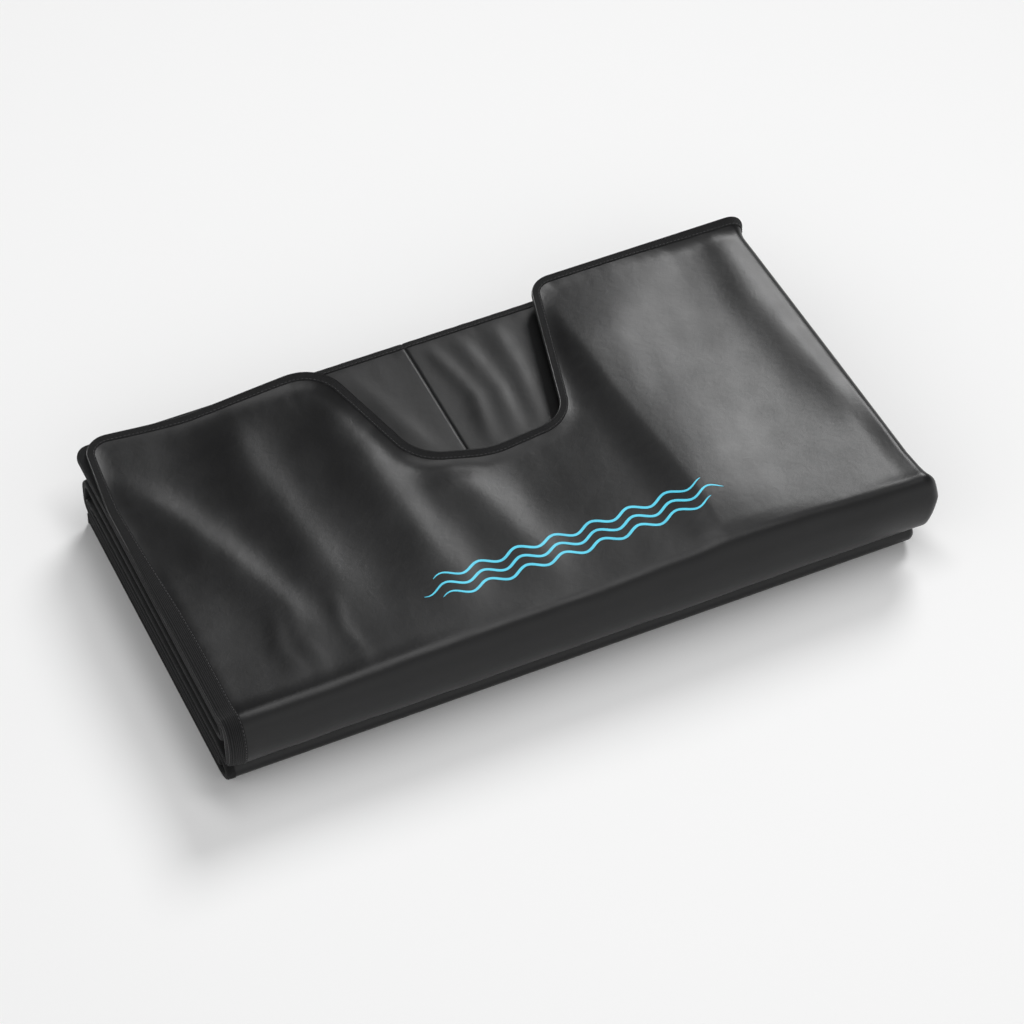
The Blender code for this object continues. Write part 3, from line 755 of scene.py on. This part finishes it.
def ridgeHeight(x, y, fold):
    left, right = fold["widths"]
    fadeIn, full, fullEnd, fadeOut = fold["shown"]
    crest = np.interp(y, *zip(*fold["crest"]))
    away = x - crest
    width = np.where(away < 0, left, right)
    fade = smooth((y - fadeIn) / (full - fadeIn)) * smooth((fadeOut - y) / (fadeOut - fullEnd))
    return fold["height"] * np.exp(-((away / width) ** 2)) * fade


def leftShare(x):
    return smooth((-0.10 - x) / 0.27)


def coverOutline():
    # the free edge in u and s: up the left side, round the notch, to the closed side
    path, pull = coverLayer.path, cover["leftHeadPull"]
    end = path.length
    corners = [
        (leftX, end, 0.0),
        (leftX, 0.13, 0.20),
        (leftX + 0.012, pull * 0.18, cover["cornerRadius"]),
        (-0.31, pull * 0.92, 0.16),
    ]
    foot = notch["depth"]
    for x, rise, radius in notch["corners"]:
        s = (pull if x < 0 else 0.0) if rise is None else foot - rise
        corners.append((x, s, radius))
    corners.append((coverLayer.side + coverLayer.referenceRound() * math.pi, 0.0, 0.0))
    return roundedLine(corners, 0.0026)


def roundedLine(corners, spacing):
    # straight runs and arcs through the corners, resampled evenly
    points = [Vector(corners[0][:2])]
    for before, (x, y, radius), after in zip(corners, corners[1:-1], corners[2:]):
        here = Vector((x, y))
        back = (Vector(before[:2]) - here).normalized()
        ahead = (Vector(after[:2]) - here).normalized()
        half = back.angle(ahead) / 2
        middle = (back + ahead).normalized()
        centre = here + middle * radius / math.sin(half)
        reach = radius / math.tan(half)
        first, last = here + back * reach - centre, here + ahead * reach - centre
        turn = first.angle_signed(last)
        count = max(3, math.ceil(abs(turn) * radius / 0.002))
        for i in range(count + 1):
            a = -turn * i / count
            points.append(centre + Vector((
                first.x * math.cos(a) - first.y * math.sin(a),
                first.x * math.sin(a) + first.y * math.cos(a),
            )))
    points.append(Vector(corners[-1][:2]))
    points = np.array([tuple(p) for p in points])
    steps = np.hypot(*np.diff(points, axis=0).T)
    along = np.concatenate([[0.0], np.cumsum(steps)])
    even = np.linspace(0.0, along[-1], math.ceil(along[-1] / spacing) + 1)
    return np.stack([np.interp(even, along, points[:, k]) for k in (0, 1)], -1)


def inwardNormals(line, side):
    tangents = np.gradient(line, axis=0)
    tangents /= np.hypot(*tangents.T)[:, None]
    return np.stack([-tangents[:, 1], tangents[:, 0]], -1) * side


class CoverLayer(Layer):
    # the top cover's edge runs round the notch, so its pinch follows the distance to that line

    def prepare(self):
        self.outline = coverOutline()
        steps = np.hypot(*np.diff(self.outline, axis=0).T)
        self.outlineAlong = np.concatenate([[0.0], np.cumsum(steps)])

    def toEdge(self, u, s):
        # distance to the free edge, and how far along it the nearest point lies
        shape = np.broadcast(u, s).shape
        spots = np.stack([np.broadcast_to(u, shape).ravel(), np.broadcast_to(s, shape).ravel()], -1)
        near, where = np.full(len(spots), 9.0), np.zeros(len(spots), int)
        for start in range(0, len(spots), 4000):
            block = spots[start:start + 4000]
            gaps = ((block[:, None, :] - self.outline[None, :, :]) ** 2).sum(-1)
            where[start:start + 4000] = gaps.argmin(1)
            near[start:start + 4000] = np.sqrt(gaps.min(1))
        return near.reshape(shape), self.outlineAlong[where].reshape(shape)

    def depths(self, u, s):
        u, s = np.broadcast_arrays(np.asarray(u, float), np.asarray(s, float))
        away, along = self.toEdge(u, s)
        x, y = np.minimum(u, self.side), headY - s
        left = leftShare(x)
        onFold = smooth((s - 0.465) / 0.05)
        thick = self.thickAt(s)
        wrapped = smooth((u - self.side + 0.02) / 0.03)
        # broad shape: the left side sinks, the head side sinks most
        sag = cover["sag"] * left * (0.45 + 0.55 * smooth((y + 0.12) / 0.30)) * (1 - onFold)
        folds = sum(ridgeHeight(x, y, fold) for fold in coverFolds) - 0.0030
        folds = folds + 0.0010 * waves(x, y, 5, 0.19) + 0.00012 * waves(x, y * 0.6, 8, 0.045)
        folds = folds * (1 - onFold) * (1 - wrapped)
        foldWaves = (0.0012 * waves(x, s * 0.4, 12, 0.24) + 0.0005 * waves(x, s, 13, 0.07)) * onFold
        right = smooth((x + 0.02) / 0.20)
        swell = cover["crown"] * right - cover["sideFall"] * np.maximum((x - 0.20) / 0.25, 0) ** 2
        body = sag - folds - foldWaves - swell * (1 - onFold) + 0.0008
        # bound edge: thin, lifted off the base at the right and resting on it at the left
        edgeDrop = cover["leftEdgeDrop"] * left + cover["rightEdgeDrop"] * (1 - left)
        edgeDrop = edgeDrop * (1 - onFold) + 0.0045 * onFold
        toFront = smooth((s - 0.12) / 0.34) * smooth((leftX + 0.07 - u) / 0.04)
        slim = cover["frontEdgeThickness"] * toFront
        slim = np.maximum(slim, cover["edgeThickness"])
        share = np.clip(1 - away / cover["pinch"], 0.0, 1.0) ** 2 * (1 - wrapped * onFold)
        stronger = 0.4 + 0.6 * smooth(waves(along, 0.0 * along, 22, 0.3))
        nearTape = np.exp(-away / 0.022) * smooth((away - 0.002) / 0.012)
        gathers = waves(along, along * 0.3, 21, 0.026, 9) * stronger
        gathers = gathers * cover["puckerHeight"] * nearTape
        outer = body * (1 - share) + edgeDrop * share - gathers * (1 - wrapped)
        slim = np.minimum(slim, thick)
        inner = (thick + 0.0015) * (1 - share) + (edgeDrop + slim) * share
        inner = np.maximum(inner, outer + np.minimum(0.0045, thick * 0.7))
        side = smooth((u - self.side + 0.03) / 0.03)
        rounded = self.roundAt(s) * 0.55 + np.maximum(outer, 0) * 0.4
        inner = inner * (1 - side) + np.minimum(inner, rounded) * side
        return outer, inner


foldStart = headY - (upperHinge[0] + cover["foldReach"])
arcEnd = foldStart + (cover["foldRadius"] + cover["foldReach"]) * 0.80
coverSkin = coverPath()
coverLayer = CoverLayer(
    coverSkin,
    ([0, arcEnd, arcEnd + 0.02, coverSkin.length], [thickLayer, thickLayer * 0.9, 0.012, 0.0050]),
    (
        [0, arcEnd - 0.03, arcEnd + 0.015, coverSkin.length],
        [thickPanel / 2, thickPanel / 2, 0.0125, 0.0040],
    ),
    {"sideGap": 0.0, "swell": cover["sideSwell"]},
)
coverLayer.prepare()


def buildCover():
    # points inside the outline, joined by triangles, on the skin and again on the lining side
    layer = coverLayer
    outline = layer.outline
    farU, farS = outline[-1][0], layer.path.length
    gap = cover["gap"]
    closing = [(farU, s) for s in np.arange(gap, farS, gap)]
    closing += [(u, farS) for u in np.arange(farU, leftX + gap, -gap)]
    border = np.vstack([outline, closing])
    ring = outline[1:-1] + inwardNormals(outline, 1.0)[1:-1] * 0.0022
    us = np.arange(leftX + gap / 2, farU, gap)
    ss = np.arange(gap / 2, farS, gap)
    grid = np.stack(np.meshgrid(us, ss), -1).reshape(-1, 2)
    grid[:, 0] += np.where((grid[:, 1] / gap).astype(int) % 2, gap * 0.25, -gap * 0.25)
    inside = insidePolygon(grid, border)
    grid = grid[inside]
    away, _ = layer.toEdge(grid[:, 0], grid[:, 1])
    farEnough = (away > 0.0040) & (grid[:, 0] < farU - gap * 0.45) & (grid[:, 1] < farS - gap * 0.45)
    grid = grid[farEnough]
    ring = ring[insidePolygon(ring, border)]
    spots = np.vstack([border, ring, grid])
    rim = list(range(len(border)))
    made = geometry.delaunay_2d_cdt([Vector(p) for p in spots], [], [rim], 1, 1e-7)
    points = np.array([tuple(p) for p in made[0]])
    triangles = np.array([f for f in made[2] if len(f) == 3])
    edges = {}
    for a, b, c in triangles:
        for pair in ((a, b), (b, c), (c, a)):
            edges[pair] = edges.get(pair, 0) + 1
    open_ = [pair for pair in edges if (pair[1], pair[0]) not in edges]
    outer, inner = layer.depths(points[:, 0], points[:, 1])
    top = layer.place(points[:, 0], points[:, 1], outer)
    bottom = layer.place(points[:, 0], points[:, 1], inner)
    below = len(points)
    faces = [tuple(t) for t in triangles]
    faces += [tuple(t[::-1] + below) for t in triangles]
    faces += [(b, a, a + below, b + below) for a, b in open_]
    obj = linkedMesh("shoulder_cover_cloth", np.vstack([top, bottom]), faces, looks["cover"])
    obj.data.materials.append(looks["lining"])
    picks = np.zeros(len(faces), np.int32)
    picks[len(triangles): 2 * len(triangles)] = 1
    obj.data.polygons.foreach_set("material_index", picks)
    faceOutwards(obj, 50)
    return obj


def insidePolygon(spots, border):
    # even-odd test of each spot against a closed border
    x, y = spots[:, 0], spots[:, 1]
    inside = np.zeros(len(spots), bool)
    x0, y0 = border[-1]
    for x1, y1 in border:
        if y0 != y1:
            crosses = ((y1 > y) != (y0 > y)) & (x < (x0 - x1) * (y - y1) / (y0 - y1) + x1)
            inside ^= crosses
        x0, y0 = x1, y1
    return inside


outerReach = (cover["foldReach"] / math.sqrt(2), cover["foldRadius"] / math.sqrt(2))
coverCloth = buildCover()
print("shoulder cover", len(coverCloth.data.polygons), "faces")
coverInwards = inwardNormals(coverLayer.outline, 1.0)
assert coverInwards[30][0] > 0.5
edgeU, edgeS = coverLayer.outline.T
widening = smooth((edgeS - 0.03) / 0.38) * smooth((leftX + 0.03 - edgeU) / 0.02)
coverLegs = (tapeSettings["leg"] * (1 + cover["frontTapeWiden"] * widening))[:, None]
coverTape = edgeTape(
    "shoulder_cover_edge_tape", coverLayer, coverLayer.outline, coverInwards, looks["tape"], coverLegs
)


def seamLine(layer, line, inwards, inset, lift):
    spots = line + inwards * inset
    outer, _ = layer.depths(spots[:, 0], spots[:, 1])
    return layer.place(spots[:, 0], spots[:, 1], outer - lift)


coverStitches = stitchRow(
    "shoulder_cover_edge_stitches",
    seamLine(
        coverLayer, coverLayer.outline, coverInwards, coverLegs - 0.0016, tapeSettings["thick"] + 0.0001
    ),
)
for piece, slot in (
    (coverCloth, "outer_leather"), (coverTape, "binding_tape"), (coverStitches, "binding_tape")
):
    turnAcross(piece, "upperTop", *outerReach)
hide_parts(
    "shoulder_cover_shell", "shoulder_cover_pad", "shoulder_cover_heater", "shoulder_cover_lining",
    "shoulder_closed_side", "upper_fold_shell", "upper_fold_outer_pad",
)
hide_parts("shoulder_cover_binding")
print("shoulder cover done")


# Every other layer, from the shoulder base down to the foot

base = {
    "edgeThickness": 0.0078,
    "pinch": 0.022,
    "seamX": -0.015,
    "seamWidth": 0.0011,
    "seamDepth": 0.0013,
    "corner": 0.018,
    "cornerRound": 0.0003,
    "sideClearance": 0.0012,
}
# soft folds of the lining in the notch
liningFolds = (
    softFold(
        crest=((0.060, 0.020), (0.130, 0.030), (0.235, 0.010)),
        height=0.0042, widths=(0.010, 0.012), shown=(0.030, 0.090, 0.200, 0.245),
    ),
    softFold(
        crest=((0.060, 0.055), (0.130, 0.062), (0.235, 0.050)),
        height=0.0046, widths=(0.016, 0.011), shown=(0.030, 0.090, 0.200, 0.246),
    ),
    softFold(
        crest=((0.060, 0.088), (0.150, 0.098), (0.235, 0.100)),
        height=0.0034, widths=(0.014, 0.012), shown=(0.030, 0.090, 0.200, 0.246),
    ),
    softFold(
        crest=((0.060, -0.050), (0.140, -0.075), (0.235, -0.100)),
        height=0.0030, widths=(0.020, 0.014), shown=(0.030, 0.090, 0.190, 0.246),
    ),
)


def liningRelief(u, s):
    x, y = u, baseHeadY - s
    raised = sum(ridgeHeight(x, y, fold) for fold in liningFolds)
    raised = raised + 0.0012 * waves(x, y * 0.5, 31, 0.07) * smooth(s / 0.02)
    raised = raised + 0.0013 * waves(x, 0.2 * y, 33, 0.024, 9) * np.exp(-s / 0.020)
    seam = np.exp(-(((x - base["seamX"]) / base["seamWidth"]) ** 2)) * smooth((y - 0.03) / 0.02)
    shown = smooth((x + 0.20) / 0.05) * smooth((0.20 - x) / 0.05) * smooth((y + 0.02) / 0.03)
    return (raised * 0.30 - 0.0018) * shown - base["seamDepth"] * seam * shown


def edgeOf(panel, rest, thickness=None, corner=0.0):
    thick = thickPanel if panel in ("hip", "shoulder") else thinPanel
    layerThick = (thick - 0.003) / 2
    return {
        "thickness": thickness or min(base["edgeThickness"], layerThick * 0.75),
        "pinch": base["pinch"] if layerThick > 0.012 else 0.010,
        "restOn": rest,
        "corner": corner,
        "sideGap": thick / 2 + base["sideClearance"],
    }


def innerCorner(points):
    # replaces the middle one of three points by a tiny round, so that the cloth has rows to open with
    start, corner, end = (np.array(p, float) for p in points)
    first = (start - corner) / np.linalg.norm(start - corner) * base["cornerRound"]
    last = (end - corner) / np.linalg.norm(end - corner) * base["cornerRound"]
    centre = corner + first + last
    made = [centre - last * math.cos(a) - first * math.sin(a) for a in np.linspace(0, math.pi / 2, 7)]
    return [tuple(start)] + [tuple(p) for p in made] + [tuple(end)]


shoulderLow, hipHigh = level["shoulder"][0], level["hip"][1]
hipLow, kneeHigh = level["hip"][0], level["knee"][1]
kneeLow, footHigh = level["knee"][0], level["foot"][1]
footLow = level["foot"][0]
upperInner = upperHinge[0] + thickPanel
lowerInner = kneeFrontHinge[0] + thinPanel
backInner = kneeBackHinge[0] - thinPanel
frontSeamY, backSeamY = -0.190, 0.185
backSeamZ = kneeHigh + 0.004
frontSeamZ = (footHigh + kneeLow) / 2
upperGapZ = (hipHigh + shoulderLow) / 2
backGapZ = (kneeHigh + hipLow) / 2
hipRise = hipHigh - hipBackHinge[1]
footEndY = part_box("foot_binding")[0][1] - 0.0003
thickRound, thinRound = thickPanel / 2, thinPanel / 2
thinReach = thinPanel / math.sqrt(2)
lipReach = 0.012    # how far the pressed lower fold bulges past its hinges


def layerNodes(layer):
    return [f"{layer}_{part}" for part in ("shell", "pad", "heater", "lining")]


layers = {
    "shoulder_base_cloth": {
        "path": innerCorner([(baseHeadY, shoulderLow), (upperInner, shoulderLow), (upperInner, upperGapZ)]),
        "facing": (0, -1), "thick": thickLayer,
        "edge": edgeOf("shoulder", 0.85, corner=base["corner"]),
        "mitre": ("upperTop", 0.007, 0.0003), "look": ("base", "lining"), "opensAt": "end",
        "replaces": layerNodes("shoulder_base"),
    },
    "hip_base_cloth": {
        "path": innerCorner([(upperInner, upperGapZ), (upperInner, hipHigh), (backSeamY, hipHigh)]),
        "facing": (1, 0), "thick": thickLayer,
        "edge": edgeOf("hip", 0.4),
        "mitre": ("upperLow", 0.007, 0.0003), "look": ("base", "lining"), "opensAt": "start",
        "replaces": layerNodes("hip_base") + ["upper_fold_inner_pad"],
    },
    "hip_base_back_cloth": {
        "path": [(backSeamY, hipHigh)]
        + arcPoints((hipBackHinge[0] - hipRise, hipBackHinge[1]), (hipRise, hipRise), 90, 0)
        + [(hipBackHinge[0], backSeamZ)],
        "facing": (0, 1), "thick": ([0, 0.02, 0.06], [thickLayer, thickLayer * 0.8, thinLayer]),
        "edge": edgeOf("hip", 0.4),
        "wrap": ([0, 0.018, 0.040, 0.08], [thickRound, thickRound * 0.95, thinRound, thinRound]),
        "mitre": ("hipBack", 0.007, 0.007), "look": ("base", "lining"), "opensAt": None,
        "replaces": ["hip_closed_side", "back_fold_shell", "back_fold_outer_pad"],
    },
    "knee_base_cloth": {
        "path": [(kneeBackHinge[0], backSeamZ)]
        + arcPoints((kneeBackHinge[0] - thinPanel, kneeLow + thinPanel), (thinPanel, thinPanel), 0, -90)
        + [(frontSeamY, kneeLow)],
        "facing": (1, 0), "thick": thinLayer,
        "edge": edgeOf("knee", 0.4),
        "wrap": ([0, 1], [thinRound, thinRound]),
        "mitre": ("kneeBack", thinReach, thinReach), "look": ("base", "lining"), "opensAt": None,
        "replaces": layerNodes("knee_base") + ["knee_closed_side"],
    },
    "knee_base_front_cloth": {
        "path": innerCorner([(frontSeamY, kneeLow), (lowerInner, kneeLow), (lowerInner, frontSeamZ)]),
        "facing": (0, -1), "thick": thinLayer,
        "edge": edgeOf("knee", 0.4),
        "mitre": ("kneeFront", 0.005, 0.0003), "look": ("base", "lining"), "opensAt": "end",
        "replaces": [],
    },
    "foot_base_cloth": {
        "path": innerCorner([(lowerInner, frontSeamZ), (lowerInner, footHigh), (footEndY, footHigh)]),
        "facing": (1, 0), "thick": thinLayer,
        "edge": edgeOf("foot", 0.4),
        "mitre": ("floorFront", 0.005, 0.0003), "look": ("base", "lining"), "opensAt": "start",
        "replaces": layerNodes("foot_base") + ["lower_fold_inner_pad"],
    },
    "hip_cover_cloth": {
        "path": [
            (upperHinge[0] + cover["bellyDepth"], hipLow + 0.0002), (-0.10, hipLow), (backSeamY, hipLow)
        ],
        "facing": (0, -1), "thick": ([0, 0.035, 1], [0.006, thickLayer, thickLayer]),
        "edge": edgeOf("hip", 0.4),
        "wrap": ([0, 0.05, 1], [0.0045, thickRound, thickRound]),
        "mitre": ("upperLow", 0.035, -0.012), "look": ("cover", "lining"), "opensAt": "start",
        "replaces": layerNodes("hip_cover"),
    },
    "hip_cover_back_cloth": {
        "path": innerCorner([(backSeamY, hipLow), (backInner, hipLow), (backInner, backGapZ)]),
        "facing": (0, -1), "thick": ([0, 0.023, 1], [thickLayer, thinLayer, thinLayer]),
        "edge": edgeOf("hip", 0.4),
        "mitre": ("hipBack", 0.005, 0.0003), "look": ("cover", "lining"), "opensAt": "end",
        "replaces": ["back_fold_inner_pad"],
    },
    "knee_cover_cloth": {
        "path": innerCorner([(backInner, backGapZ), (backInner, kneeHigh), (frontSeamY, kneeHigh)]),
        "facing": (-1, 0), "thick": thinLayer,
        "edge": edgeOf("knee", 0.4),
        "mitre": ("kneeBack", 0.005, 0.0003), "look": ("cover", "lining"), "opensAt": "start",
        "replaces": layerNodes("knee_cover"),
    },
    "knee_cover_front_cloth": {
        "path": [(frontSeamY, kneeHigh)]
        + arcPoints((lowerInner, kneeHigh - thinPanel), (thinPanel + lipReach, thinPanel), 90, 180)
        + [(kneeFrontHinge[0] - lipReach, frontSeamZ)],
        "facing": (0, 1), "thick": thinLayer,
        "edge": edgeOf("knee", 0.4),
        "wrap": ([0, 1], [thinRound, thinRound]),
        "mitre": ("kneeFront", thinReach, thinReach), "look": ("cover", "lining"), "opensAt": None,
        "replaces": ["lower_fold_shell", "lower_fold_outer_pad"],
    },
    "foot_cover_cloth": {
        "path": [(floorHinge[0] - lipReach, frontSeamZ)]
        + arcPoints((lowerInner, footLow + thinPanel), (thinPanel + lipReach, thinPanel), 180, 270)
        + [(footEndY, footLow)],
        "facing": (-1, 0), "thick": thinLayer,
        "edge": edgeOf("foot", 0.4),
        "wrap": ([0, 1], [thinRound, thinRound]),
        "mitre": ("floorFront", thinReach, thinReach), "look": ("cover", "lining"), "opensAt": None,
        "replaces": layerNodes("foot_cover") + ["foot_closed_side"],
    },
}


def buildLayer(name, made):
    path = SkinPath(made["path"], made["facing"])
    thick = made["thick"] if isinstance(made["thick"], tuple) else ([0, 1], [made["thick"]] * 2)
    relief = liningRelief if name == "shoulder_base_cloth" else None
    layer = Layer(path, thick, made.get("wrap"), made["edge"], liningRelief=relief)
    zones = []
    if made["opensAt"] == "start":
        zones = [(0, 0.0012, 0.00012), (0.0012, 0.013, 0.0005)]
    if made["opensAt"] == "end":
        end = path.length
        zones = [(end - 0.0012, end, 0.00012), (end - 0.013, end - 0.0012, 0.0005)]
    if made["opensAt"] is None:
        zones = [(0, 0.075, 0.0018)] if path.length > 0.08 else [(0, path.length, 0.0015)]
    if made["edge"]["corner"]:
        zones.append((0, 0.024, 0.002))
    rows = rowsFor(path.length, 0.0065 if relief is None else 0.0045, zones)
    extra = ()
    if relief is not None:
        beside = np.array([0.0007, 0.0013, 0.0022, 0.0040])
        extra = base["seamX"] + np.concatenate([-beside[::-1], [0.0], beside])
    columns = columnsFor(layer, 0.0105 if relief is None else 0.0050, extra)
    skinLook, liningLook = made["look"]
    cloth = gridSlab(name, layer, columns, rows, looks[skinLook], looks[liningLook])
    if made["edge"]["corner"]:
        corners = [(leftX, path.length, 0), (leftX, 0, made["edge"]["corner"]), (layer.side, 0, 0)]
        line = roundedLine(corners, 0.004)
        line = line[line[:, 1] < path.length - 0.0155]
        line = np.vstack([[(leftX, s) for s in rows[::-1] if s > path.length - 0.0150], line])
        inwards = inwardNormals(line, 1.0)
        if inwards[len(inwards) // 2][1] < 0:
            inwards = -inwards
    else:
        line = np.array([(leftX, s) for s in rows])
        inwards = np.tile([1.0, 0.0], (len(line), 1))
    tapeName = name.replace("_cloth", "_edge_tape")
    tape = edgeTape(tapeName, layer, line, inwards, looks["tape"])
    mitre, before, after = made["mitre"]
    for piece in (cloth, tape):
        turnAcross(piece, mitre, before, after)
    if made["replaces"]:
        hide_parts(*made["replaces"])
    return layer, cloth, tape


built = {name: buildLayer(name, made) for name, made in layers.items()}
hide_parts("shoulder_base_binding")
print("layers done")

# Stitches along the base's head edge
baseLayer = built["shoulder_base_cloth"][0]


def liningLine(us, ss, lift):
    us, ss = np.broadcast_arrays(np.asarray(us, float), np.asarray(ss, float))
    _, inner = baseLayer.depths(us, ss)
    return baseLayer.place(us, ss, inner + lift)


headSeam = stitchRow(
    "shoulder_base_edge_stitches",
    liningLine(np.arange(leftX + 0.03, baseLayer.side, 0.004), tapeSettings["leg"] - 0.0018, 0.0009),
)
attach(headSeam, "shoulder_panel")

# The printed mark: three slim heat waves in cyan
mark = {
    "left": -0.165, "right": 0.225, "middleY": -0.157, "rows": 3, "rowGap": 0.0150,
    "waveLength": 0.0488, "waveHeight": 0.0052, "stroke": 0.0036, "film": 0.00025,
}


def buildMark():
    points, faces = [], []
    steps = 360
    for row in range(mark["rows"]):
        t = np.linspace(0.0, 1.0, steps)
        inset = 0.020 * abs(row - (mark["rows"] - 1) / 2)
        x = mark["left"] + inset + (mark["right"] - mark["left"] - 2 * inset) * t
        y = mark["middleY"] + (row - (mark["rows"] - 1) / 2) * mark["rowGap"]
        y = y + mark["waveHeight"] * np.sin(2 * math.pi * x / mark["waveLength"])
        half = mark["stroke"] / 2 * np.sqrt(np.clip(1 - np.abs(2 * t - 1) ** 6, 0.0004, 1))
        tangent = np.gradient(np.stack([x, y], -1), axis=0)
        tangent /= np.hypot(*tangent.T)[:, None]
        normal = np.stack([-tangent[:, 1], tangent[:, 0]], -1)
        rails = []
        for offset, lift in ((1, 1), (-1, 1), (-1, 0), (1, 0)):
            spot = np.stack([x, y], -1) + normal * (half * offset)[:, None]
            u, s = spot[:, 0], headY - spot[:, 1]
            outer, _ = coverLayer.depths(u, s)
            rails.append(coverLayer.place(u, s, outer - (mark["film"] if lift else -0.0002)))
        start = len(points)
        points += list(np.stack(rails, 1).reshape(-1, 3))
        for i in range(steps - 1):
            for k in range(4):
                a, b = start + i * 4 + k, start + i * 4 + (k + 1) % 4
                faces.append((a, b, b + 4, a + 4))
        faces.append(tuple(start + k for k in (3, 2, 1, 0)))
        faces.append(tuple(start + (steps - 1) * 4 + k for k in range(4)))
    made = linkedMesh("heat_wave_print", points, faces, looks["print"])
    faceOutwards(made, 40)
    return made


printed = buildMark()
turnAcross(printed, "upperTop", *outerReach)
print("mark done")

# Finishes of the pieces kept from the frame
for name, node in frame["nodes"].items():
    if name == "foot_binding":
        look = looks["footTape"]
    elif name.endswith(("hook_tape", "loop_tape")):
        look = looks["closure"]
    elif name.startswith("inlet_pin"):
        look = looks["metal"]
    else:
        look = looks["plastic"]
    node.data.materials.clear()
    node.data.materials.append(look)
